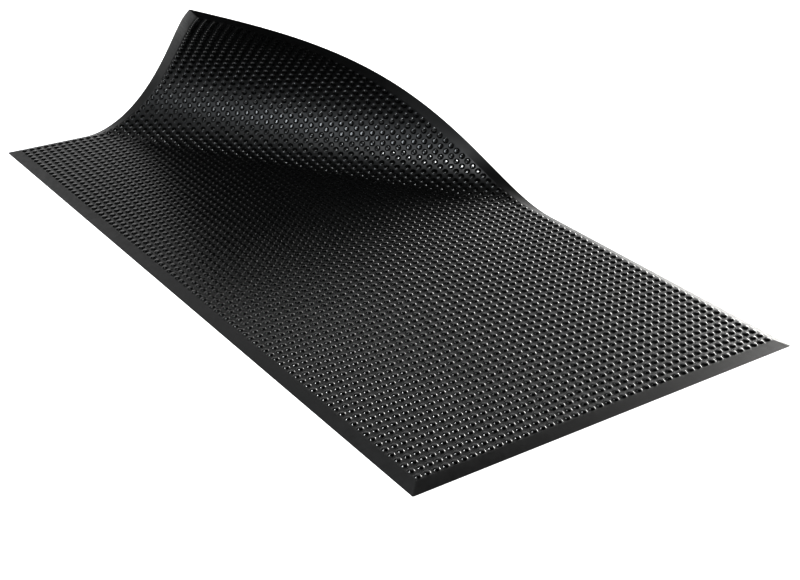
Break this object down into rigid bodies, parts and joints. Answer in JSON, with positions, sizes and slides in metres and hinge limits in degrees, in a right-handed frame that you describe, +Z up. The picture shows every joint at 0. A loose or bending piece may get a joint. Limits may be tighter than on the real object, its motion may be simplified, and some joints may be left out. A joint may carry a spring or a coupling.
{
  "type": "anti-static floor mat",
  "caption": "Rectangular black rubber floor mat with a bubbled top and bevelled borders, lying flat with one corner curled up and over.",
  "frame": {"origin": "on the floor, under the middle of the flat mat's outline", "axes": "+Y along the mat's length, +X across its width, +Z up; the curled corner is the one at +X, +Y"},
  "size_m": [0.9488, 1.8485, 0.4335],
  "materials": {
    "rubber": "satin black moulded rubber with a fine grain"
  },
  "bodies": {
    "root": {"mat": "rubber"}
  },
  "joints": []
}
